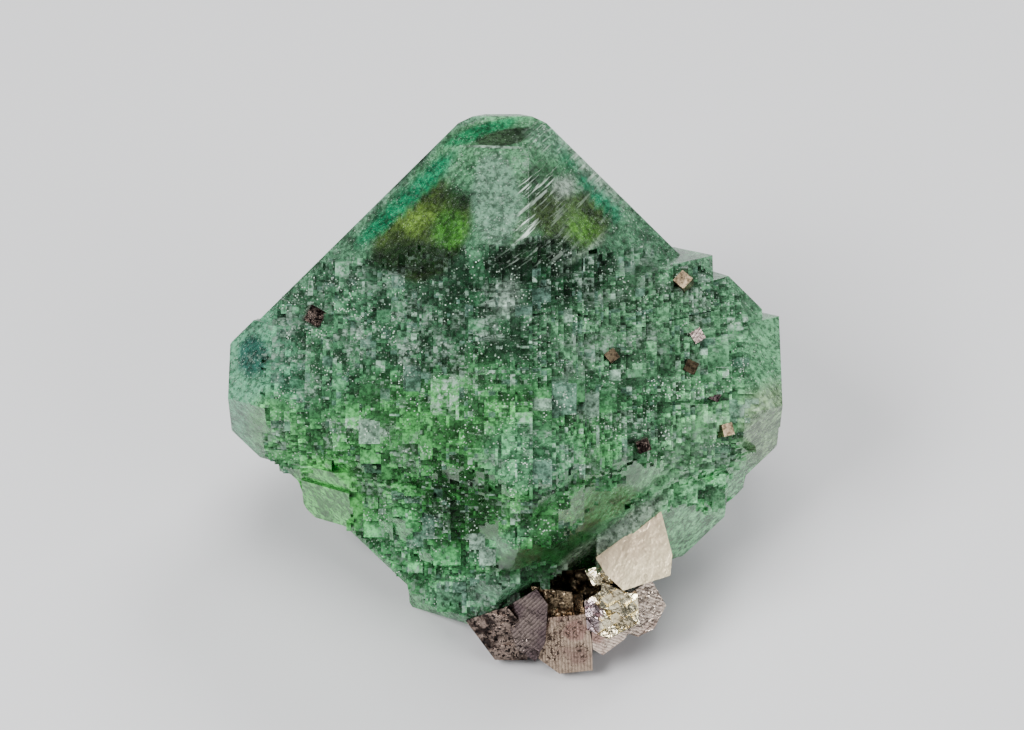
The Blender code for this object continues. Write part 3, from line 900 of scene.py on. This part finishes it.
@dataclass(frozen=True)
class FluoritePaint:
    """The colour zones of the fluorite, its frost and where its painted glints (white specks) go."""

    light: Colour = (0.165, 0.430, 0.225)
    dark: Colour = (0.055, 0.190, 0.090)
    slate: Colour = (0.110, 0.190, 0.165)
    chalk: Colour = (0.330, 0.470, 0.390)
    # Which steps are slate, frosted or chalk, by their random tint.
    slate_tints: tuple[float, float] = (0.60, 0.69)
    frost_tint: float = 0.93
    chalk_tint: float = 0.978
    # Size and seed of the noises that bend the zones' edges, mix light and dark, and frost.
    wander: tuple[float, int] = (4.0, 5)
    broad: tuple[float, int] = (14.0, 9)
    frosting: tuple[float, int] = (2.6, 21)
    zones: tuple[Zone, ...] = (
        Zone("upper_grey_green", 0.0, 12.0, 30.0, 9.0, (0.11, 0.24, 0.15), 0.6),
        Zone("left_middle", -16.0, 1.0, 11.0, 7.0, (0.06, 0.18, 0.092), 0.7),
        Zone("middle_dark", -3.0, 2.0, 9.0, 5.0, (0.036, 0.118, 0.056), 0.75, edge=0.5),
        Zone("right_middle", 12.0, 6.0, 9.0, 6.0, (0.125, 0.29, 0.155), 0.7),
        # Partly painted light: the lower green is made brighter as if light came through the crystal from behind and
        # below.
        Zone("lower_green_and_painted_glow", -6.0, -10.0, 17.0, 10.0, (0.1, 0.39, 0.11), 0.85),
        Zone("centre_plate", 1.5, -6.5, 4.6, 3.4, (0.15, 0.4, 0.23), 0.7),
        Zone("left_tip_pale", -25.5, 0.5, 4.6, 7.5, (0.15, 0.42, 0.265), 0.9),
        Zone("left_tip_teal", -26.0, 3.0, 1.5, 2.0, (0.012, 0.08, 0.07), 0.9, edge=0.2),
        Zone("left_tip_green", -23.5, -4.0, 3.0, 3.5, (0.13, 0.44, 0.13), 0.7),
        Zone("right_mint", 19.5, -9.0, 7.0, 9.0, (0.29, 0.68, 0.34), 0.9),
        Zone("right_low_clear", 18.6, -12.6, 5.4, 4.4, (0.33, 0.82, 0.42), 0.95, 30.0, 0.3, True),
        Zone("right_tip_pale", 25.0, -3.5, 3.0, 3.6, (0.4, 0.56, 0.32), 0.85),
        Zone("lower_left_green", -18.6, -10.8, 4.0, 3.6, (0.18, 0.68, 0.18), 0.95, -40.0, 0.2, True),
        Zone("bottom_green", -10.0, -18.0, 6.5, 6.0, (0.13, 0.5, 0.19), 0.9),
        Zone("bottom_frost", -4.0, -20.0, 5.0, 1.6, (0.24, 0.5, 0.33), 0.7, 12.0),
        Zone("dark_middle", 1.0, 10.5, 9.5, 3.4, (0.012, 0.046, 0.021), 0.9, 8.0),
        Zone("bloom", -0.8, 8.5, 1.0, 1.5, (0.5, 0.64, 0.56), 0.8, -10.0, 0.6),
        Zone("dark_lower", -5.8, -11.5, 3.8, 4.8, (0.016, 0.11, 0.02), 0.9),
        Zone("dark_low_right", 8.0, -2.5, 6.0, 2.2, (0.06, 0.19, 0.075), 0.6, 14.0),
        Zone("diagonal_dark", 3.6, -15.6, 5.6, 1.7, (0.014, 0.105, 0.022), 0.9, 24.0, 0.15, True),
        Zone("diagonal_light", -1.5, -15.0, 4.0, 1.0, (0.15, 0.42, 0.22), 0.8, 30.0),
        Zone("contact_frost", 10.8, -13.7, 4.6, 1.0, (0.52, 0.64, 0.53), 0.9, 38.0),
        # Painted light: a pale patch where the fluorite beside the pyrite shows lit.
        Zone("contact_painted_light", 6.9, -16.9, 2.9, 1.3, (0.48, 0.54, 0.44), 0.9, 38.0),
        Zone("left_window", -8.9, 15.3, 5.2, 4.4, (0.046, 0.076, 0.014), 0.95, 40.0, 0.12, True),
        Zone("left_window_light", -9.6, 16.6, 2.0, 1.5, (0.15, 0.26, 0.04), 0.85, 20.0, 0.5, True),
        Zone("left_window_green", -6.3, 15.2, 1.7, 1.9, (0.07, 0.27, 0.032), 0.85, 0.0, 0.4, True),
        Zone("left_window_dark", -9.8, 12.6, 4.4, 1.6, (0.008, 0.026, 0.006), 0.95, 0.0, 0.3, True),
        Zone("left_window_split", -5.6, 18.4, 1.6, 0.8, (0.01, 0.034, 0.012), 0.8, -20.0, 0.4, True),
        Zone("striated_green", 2.1, 18.6, 2.3, 3.6, (0.036, 0.098, 0.046), 0.9, -14.0, 0.2, True, 0.75),
        Zone("striated_low", 0.6, 15.2, 3.0, 1.0, (0.09, 0.18, 0.1), 0.8, 28.0, 0.3, True, 1.0),
        Zone("right_window", 5.6, 16.4, 3.8, 2.9, (0.05, 0.08, 0.02), 0.9, -12.0, 0.15, True, 0.18),
        Zone("right_window_light", 6.5, 15.2, 1.5, 1.4, (0.09, 0.23, 0.034), 0.9, 0.0, 0.5, True),
        Zone("right_window_dark", 2.4, 13.2, 3.6, 1.2, (0.01, 0.03, 0.013), 0.9, 16.0, 0.3, True, 0.3),
        Zone("right_window_rim", 7.0, 13.4, 2.6, 0.22, (0.33, 0.45, 0.34), 0.8, 34.0, 0.4, True),
        Zone("right_bloom", 4.8, 19.6, 1.1, 1.0, (0.38, 0.44, 0.39), 0.8, 20.0, 0.4),
        Zone("left_band", -10.6, 18.6, 6.8, 0.95, (0.008, 0.25, 0.112), 0.97, 43.0, 0.2, True),
        Zone("left_band_rim", -11.9, 20.0, 6.4, 0.4, (0.27, 0.5, 0.36), 0.8, 43.0, 0.3, True),
        Zone("left_wedge", -10.3, 21.5, 3.2, 0.42, (0.016, 0.04, 0.026), 0.85, 43.0, 0.3, True),
        Zone("right_band", 8.4, 18.8, 3.2, 0.8, (0.008, 0.21, 0.105), 0.9, -50.0, 0.2, True),
        Zone("right_band_top", 5.2, 22.6, 1.7, 0.6, (0.012, 0.18, 0.085), 0.8, -48.0, 0.3, True),
        Zone("right_frost", 7.6, 21.4, 4.0, 0.8, (0.29, 0.4, 0.32), 0.75, -48.0, 0.4, streak=0.6),
        Zone("strip_frost", -2.0, 18.6, 2.3, 4.9, (0.15, 0.285, 0.2), 0.9, 4.0, 0.06),
        Zone("strip_edge", -4.2, 19.0, 0.16, 4.2, (0.33, 0.48, 0.38), 0.6, 0.0, 0.3),
        Zone("crown_green", -3.0, 25.2, 4.0, 0.75, (0.016, 0.25, 0.1), 0.95, 20.0, 0.2, True),
        Zone("crown_pale", -4.6, 26.3, 2.6, 0.35, (0.2, 0.4, 0.28), 0.7, 24.0, 0.4, True),
        Zone("crown_speckle", -0.9, 24.5, 3.1, 0.9, (0.034, 0.062, 0.03), 0.95, 12.0, 0.15, True),
        Zone("crown_frost", 3.4, 24.4, 2.2, 1.4, (0.15, 0.31, 0.21), 0.7, -30.0, 0.4, streak=0.5),
        Zone("crown_edge", -2.0, 23.5, 2.9, 0.14, (0.42, 0.56, 0.47), 0.85, -2.0, 0.4, True),
    )

    def colours(self, crystal: Array, stepped: Array, tint: Array, on_front: Mask) -> tuple[Array, Array]:
        """Works out the two colour layers at each point.

        Args:
            crystal: places in the crystal's axes.
            stepped: 1 where the crystal is stepped.
            tint: a random number of the step that a point belongs to.
            on_front: which points belong to the front sheet.

        Returns:
            The zone colours, and the frost, stepped, painted glint and streak amounts as one colour.
        """
        x, y, z = crystal.T
        up = STANCE.view_up(y, z)
        wander = fractal_noise(crystal, *self.wander, 4) - 0.5
        colour = np.empty((len(x), 3))
        broad = fractal_noise(crystal, *self.broad, 3)
        light, dark = np.array(self.light), np.array(self.dark)
        colour[:] = dark + (light - dark) * ease(broad, 0.3, 0.7)[:, None]
        windows, streak = np.zeros(len(x)), np.zeros(len(x))
        for zone in self.zones:
            share = np.where(on_front, zone.share(x, up, wander), 0.0)
            colour += (np.array(zone.colour) - colour) * share[:, None]
            windows = np.maximum(windows, share * zone.clear)
            streak += (zone.streak - streak) * share
        uneven = 0.30 + 1.25 * tint**1.4
        colour *= (1.0 + (uneven - 1.0) * stepped)[:, None]
        low, high = self.slate_tints
        slate = 0.75 * stepped * ((tint > low) & (tint < high)) * (1.0 - windows)
        colour += (np.array(self.slate) - colour) * slate[:, None]
        frost = 0.75 * ease(fractal_noise(crystal, *self.frosting, 4), 0.50, 0.68)
        frost *= 0.45 + 0.55 * stepped
        frost = np.maximum(frost, np.where((tint > self.frost_tint) & (stepped > 0.5), 1.0, 0.0))
        chalk = 0.9 * stepped * (tint > self.chalk_tint) * (1.0 - windows)
        colour += (np.array(self.chalk) - colour) * chalk[:, None]
        frost *= 1.0 - chalk
        frost *= 1.0 - 0.85 * windows
        # How much painted glint, white specks for light caught by the small steps, each point gets: more where
        # stepped, less in the clear windows.
        painted_glint = np.clip(0.45 + 0.55 * stepped, 0.0, 1.0) * (1.0 - 0.6 * windows)
        return np.column_stack([colour, np.ones(len(x))]), np.column_stack([frost, stepped, painted_glint, streak])


@dataclass(frozen=True)
class PyriteCrystal:
    """One crystal of the cluster: a prism with a sloping front face."""

    name: str
    outline: tuple[tuple[float, float], ...]
    depth: float
    slope_right: float
    slope_up: float
    thickness: float
    look: PyriteLook
    relief: float
    grain: float
    # Round worn and stained patches: right, up and radius.
    pitted: tuple[Colour, ...] = ()
    stained: tuple[Colour, ...] = ()
    # Size of the facets of a broken face, or 0 for a whole one.
    broken: float = 0.0

    taper: float = 0.94
    around: int = 130
    face_rows: int = 34
    side_rows: int = 12
    facet_turn: float = 0.6
    facet_seeds: tuple[int, int, int] = (81, 82, 83)
    # Seeds of the uneven edges of patches, of the pits and of the chips.
    patch_seed: int = 77
    pit_seed: int = 57
    chip_seed: int = 41
    merge: float = 0.003

    def rim(self) -> Array:
        """Points evenly along the outline, with its corners kept."""
        corners = np.array(self.outline)
        sides = np.roll(corners, -1, axis=0) - corners
        length = np.hypot(*sides.T)
        counts = np.maximum(2, np.round(self.around * length / length.sum()).astype(int))
        parts = [corner + side * (np.arange(n) / n)[:, None] for corner, side, n in zip(corners, sides, counts)]
        return np.concatenate(parts)

    def build(self) -> Object:
        """Lofts the crystal: out from the middle of its face, down its sides and in over its back.

        Returns:
            The crystal as a mesh object, with its finish still to be given.
        """
        rim = self.rim()
        middle = np.array(self.outline).mean(axis=0)
        away = rim - middle
        face = np.linspace(0.0, 1.0, self.face_rows) ** 0.8
        side = np.linspace(0.0, 1.0, self.side_rows)[1:]
        back = np.array([0.5, 0.0])
        scale = np.concatenate([face, 1.0 + (self.taper - 1.0) * side, self.taper * back])
        drop = np.concatenate([np.zeros(len(face)), side, np.ones(len(back))])
        plan = middle + away[None] * scale[:, None, None]
        lift = (plan - middle) @ np.array([self.slope_right, self.slope_up])
        top = self.depth + lift
        depth = top + (self.depth - self.thickness - top) * drop[:, None]
        points = STANCE.from_view(plan[..., 0], plan[..., 1], depth)
        points = self.worn(points, plan, middle, drop)
        world = STANCE.to_world(points)
        world[..., 2] = np.maximum(world[..., 2], 0.0)
        rows, cols = plan.shape[:2]
        number = np.arange(rows * cols).reshape(rows, cols)
        beside = np.roll(number, -1, axis=1)
        quads = np.stack([number[:-1], beside[:-1], beside[1:], number[1:]], axis=-1).reshape(-1, 4)
        obj = put_in_scene(self.name + "_look", world.reshape(-1, 3), quads)
        add_colours(obj, "wear", self.wear(points, plan, drop))
        close_mesh(obj, self.merge)
        return obj

    def wear(self, points: Array, plan: Array, drop: Array) -> Array:
        """How pitted, how stained and how far into the painted shade of the sides each point is, as one colour."""
        uneven = 0.9 * (fractal_noise(points, 0.9, self.patch_seed) - 0.5)
        amounts = []
        for patches in (self.pitted, self.stained):
            amount = np.zeros(plan.shape[:2])
            for right, up, radius in patches:
                distance = np.hypot(plan[..., 0] - right, plan[..., 1] - up) / radius
                amount = np.maximum(amount, 1.0 - ease(distance + uneven, 0.7, 1.15))
            amounts.append(amount)
        # Painted shade: each crystal darkens down its sides and over its back.
        painted_side_shade = np.broadcast_to(0.85 * ease(drop, 0.02, 0.25)[:, None], plan.shape[:2])
        return np.stack([*amounts, painted_side_shade, np.ones(plan.shape[:2])], axis=-1)

    def facets(self, points: Array) -> Array:
        """Heights of broken facets: each cube of space has a level and a tilt of its own."""
        c, s = math.cos(self.facet_turn), math.sin(self.facet_turn)
        right, up = c * points[..., 0] + s * points[..., 2], c * points[..., 2] - s * points[..., 0]
        scaled = np.stack([right, points[..., 1] * 0.4, up], axis=-1) / self.broken
        cell = np.floor(scaled).astype(np.int64)
        part = scaled - cell - 0.5
        level, lean, rise = (hash_noise(cell, seed) - 0.5 for seed in self.facet_seeds)
        return 0.8 * level + 1.3 * (lean * part[..., 0] + rise * part[..., 2])

    def worn(self, points: Array, plan: Array, middle: Array, drop: Array) -> Array:
        """Relief: flat chips and pits, sunk along the view and into the sides."""
        pits = fractal_noise(points, self.grain, self.pit_seed)
        if self.broken:
            sunk = self.relief * (self.facets(points) + 0.25 * (pits - 0.5))
        else:
            chips = np.round(fractal_noise(points, self.grain * 2.2, self.chip_seed, 2) * 5.0) / 5.0
            sunk = self.relief * (0.9 * (chips - 0.5) + 0.8 * (pits - 0.5))
        inward = (plan - middle) / np.maximum(np.linalg.norm(plan - middle, axis=-1, keepdims=True), HAIR)
        on_side = (drop > 0)[:, None] * 1.0
        c, s = math.cos(STANCE.view_rise), math.sin(STANCE.view_rise)
        push = points + (sunk * (1.0 - on_side))[..., None] * np.array([0.0, -c, s])
        flat = np.stack([inward[..., 0], inward[..., 1] * s, inward[..., 1] * c], axis=-1)
        fade = np.where(np.arange(len(drop)) >= len(drop) - 1, 0.0, 1.0)[:, None]
        return push + (0.6 * sunk * on_side * fade)[..., None] * flat


# The crystals, grown through each other: name, outline as right and up, depth, slope to the right and
# upwards, thickness, look, relief, grain, pitted patches, stained patches and size of the broken facets.
CRYSTALS: tuple[PyriteCrystal, ...] = (
    PyriteCrystal(
        "gold_cube", ((7.9, -16.7), (14.3, -12.0), (15.4, -16.4), (15.2, -18.4), (10.6, -19.9), (8.9, -18.3)),
        8.0, 0.05, -0.10, 12.0, PyriteLook.GOLD, 0.03, 1.6,
    ),
    PyriteCrystal(
        "right_cube", ((11.3, -20.3), (13.4, -18.9), (14.9, -21.5), (13.7, -23.8), (12.1, -24.6), (10.6, -24.0)),
        6.2, -0.25, 0.10, 8.5, PyriteLook.PINK_WITH_PAINTED_LIGHT, 0.16, 0.5,
    ),
    PyriteCrystal(
        "bright_cube", ((6.8, -21.0), (8.9, -19.7), (12.0, -20.3), (12.2, -23.2), (9.2, -24.8), (7.1, -23.8)),
        7.0, 0.10, 0.20, 9.5, PyriteLook.BRIGHT, 0.70, 0.5, (), ((7.4, -22.0, 1.3), (7.6, -23.6, 1.0)), 0.95,
    ),
    PyriteCrystal(
        "pink_cube", ((7.5, -23.6), (11.7, -23.4), (10.8, -24.9), (8.7, -26.5), (7.7, -25.9)),
        5.0, 0.0, 0.45, 8.0, PyriteLook.PINK_WITH_PAINTED_LIGHT, 0.14, 0.5, (), ((8.1, -24.4, 1.0),),
    ),
    PyriteCrystal(
        "foot_cube", ((3.3, -22.7), (7.0, -22.3), (7.6, -25.2), (7.7, -28.1), (4.4, -28.5), (2.3, -26.9)),
        4.3, 0.10, 0.62, 9.0, PyriteLook.FOOT, 0.16, 0.6,
        ((3.2, -25.6, 2.0), (5.4, -23.4, 1.4), (6.6, -26.0, 0.9)), ((5.9, -24.0, 1.2),),
    ),
    PyriteCrystal(
        "grey_cube", ((-1.2, -21.9), (2.1, -19.8), (3.2, -21.3), (3.0, -25.2), (2.0, -27.2), (0.2, -26.0)),
        5.2, 0.45, 0.55, 8.5, PyriteLook.GREY, 0.10, 0.6, ((1.0, -26.8, 1.7),),
    ),
    PyriteCrystal(
        "left_cube", ((-4.9, -23.1), (-0.8, -21.6), (1.6, -24.6), (1.2, -27.2), (-2.0, -27.2)),
        3.4, 0.15, 0.75, 8.5, PyriteLook.PITTED, 0.55, 0.6, ((-1.8, -25.2, 4.4),),
    ),
    # Painted shade: the recess is a dark sheet set deep behind the crystals, showing in the gaps between them.
    PyriteCrystal(
        "recess", ((0.6, -20.1), (4.7, -18.3), (9.8, -17.7), (10.8, -21.7), (7.9, -24.6), (2.6, -24.6)),
        1.8, 0.10, 0.25, 9.0, PyriteLook.DARK, 0.9, 1.0,
    ),
    PyriteCrystal(
        "recess_cube", ((4.8, -20.6), (6.7, -20.5), (6.9, -22.5), (4.9, -22.6)),
        3.7, 0.10, 0.15, 6.0, PyriteLook.BROWN, 0.12, 0.5,
    ),
    PyriteCrystal(
        "brown_cube", ((1.6, -19.6), (5.6, -20.2), (5.9, -23.5), (4.4, -25.6), (2.0, -25.8)),
        4.7, 0.15, 0.40, 9.0, PyriteLook.BROWN, 0.40, 0.6, ((3.6, -24.2, 1.8),),
    ),
    PyriteCrystal(
        "rim_cube", ((6.9, -18.1), (9.1, -17.3), (9.7, -19.3), (7.7, -19.6)),
        5.6, 0.20, 0.10, 7.0, PyriteLook.BRIGHT, 0.35, 0.5, (), (), 0.8,
    ),
    PyriteCrystal(
        "wedge_cube", ((8.5, -19.1), (10.7, -20.0), (10.4, -22.1), (8.3, -21.6)),
        7.8, 0.12, 0.25, 6.0, PyriteLook.BRIGHT, 0.40, 0.5, (), (), 1.1,
    ),
)


@dataclass(frozen=True)
class Studio:
    """Pale floor, soft lights and the camera."""

    distance: float = 0.400
    rise: float = math.radians(44.0)
    sensor: float = 36.0
    picture: tuple[int, int] = (1024, 730)
    middle_pixel: tuple[float, float] = (515.0, 387.0)
    millimetres_across: float = 102.4
    floor_side: float = 3.0
    floor_colour: Colour = (0.62, 0.62, 0.63)
    floor_roughness: float = 0.7
    # Soft square lights: name, place, side and power.
    areas: tuple[tuple[str, Colour, float, float], ...] = (
        ("key", (-0.32, -0.30, 0.48), 0.26, 5.6),
        ("fill", (0.42, -0.30, 0.34), 0.34, 1.9),
        ("back", (0.26, 0.30, 0.52), 0.28, 2.6),
        ("top", (0.0, -0.05, 0.60), 0.26, 2.4),
    )
    lit: Colour = (0.0, 0.0, 0.02)
    sky: Colour = (0.80, 0.84, 0.90)
    sky_strength: float = 0.20

    def build(self) -> None:
        """Adds the floor, the lights, the surroundings and the camera."""
        self.floor()
        for name, place, side, power in self.areas:
            self.area(name, place, side, power)
        self.surroundings()
        self.camera()

    @staticmethod
    def put(name: str, data: bpy.types.ID) -> Object:
        """Makes an object of a mesh, a light or a camera, and links it to the scene."""
        obj = bpy.data.objects.new(name, data)
        bpy.context.scene.collection.objects.link(obj)
        return obj

    def floor(self) -> None:
        """A wide pale floor at the ground."""
        mesh = bpy.data.meshes.new("floor")
        signs = ((-1, -1), (1, -1), (1, 1), (-1, 1))
        mesh.from_pydata([(x * self.floor_side, y * self.floor_side, 0) for x, y in signs], [], [(0, 1, 2, 3)])
        s = Shade("floor_pale")
        s.principled({"Roughness": self.floor_roughness, "Base Color": (*self.floor_colour, 1.0)})
        mesh.materials.append(s.material)
        self.put("floor", mesh)

    def area(self, name: str, place: Colour, side: float, power: float) -> None:
        """One square soft light, aimed at the specimen."""
        light = bpy.data.lights.new(name, "AREA")
        light.size = side
        light.energy = power
        obj = self.put(name, light)
        obj.location = place
        obj.rotation_euler = (Vector(self.lit) - Vector(place)).to_track_quat("-Z", "Y").to_euler()

    def surroundings(self) -> None:
        """A dim, even light from all sides."""
        world = bpy.data.worlds.new("soft_surroundings")
        world.use_nodes = True
        inputs = world.node_tree.nodes["Background"].inputs
        inputs["Color"].default_value = (*self.sky, 1.0)
        inputs["Strength"].default_value = self.sky_strength
        bpy.context.scene.world = world

    def camera(self) -> None:
        """The camera, raised and aimed so that the crystal's middle falls on its pixel."""
        back = Vector((0.0, -math.cos(self.rise), math.sin(self.rise)))
        up = Vector((0.0, math.sin(self.rise), math.cos(self.rise)))
        wide, high = self.picture
        per_pixel = self.millimetres_across * MM / wide
        aim = Vector(STANCE.middle) * MM + Vector((1.0, 0.0, 0.0)) * (wide / 2 - self.middle_pixel[0]) * per_pixel
        aim -= up * (high / 2 - self.middle_pixel[1]) * per_pixel
        lens = bpy.data.cameras.new("camera")
        lens.sensor_width = self.sensor
        lens.lens = self.sensor * self.distance / (self.millimetres_across * MM)
        obj = self.put("camera", lens)
        obj.location = aim + back * self.distance
        obj.rotation_euler = (-back).to_track_quat("-Z", "Y").to_euler()
        bpy.context.scene.camera = obj


# The finishes of the grains, in turn.
GRAIN_LOOKS = (PyriteLook.PITTED, PyriteLook.BROWN, PyriteLook.GREY, PyriteLook.DARK)


def main() -> None:
    """Builds every piece in order, sets it in the frame and notes its size."""
    logging.basicConfig(level=logging.INFO, format="%(name)s %(message)s")
    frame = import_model()

    fluorite = Fluorite().build()
    fluorite.data.materials.append(FluoriteFinish().make())
    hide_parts("fluorite_crystal")
    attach(fluorite, "root")
    log.info("%s: %d faces", fluorite.name, len(fluorite.data.polygons))

    finishes = {look: finish.make("pyrite_" + look.value) for look, finish in PYRITE_FINISHES.items()}
    for crystal in CRYSTALS:
        piece = crystal.build()
        piece.data.materials.append(finishes[crystal.look])
        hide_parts("pyrite_cluster")
        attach(piece, "root")
        log.info("%s: %d faces", piece.name, len(piece.data.polygons))

    grains = sorted(name for name in frame["nodes"] if name.startswith("pyrite_grain"))
    for number, name in enumerate(grains):
        grain = frame["nodes"][name].data
        grain.materials.clear()
        grain.materials.append(finishes[GRAIN_LOOKS[number % len(GRAIN_LOOKS)]])
        log.info("%s: %d faces", name, len(grain.polygons))

    Studio().build()


if __name__ == "__main__":
    main()
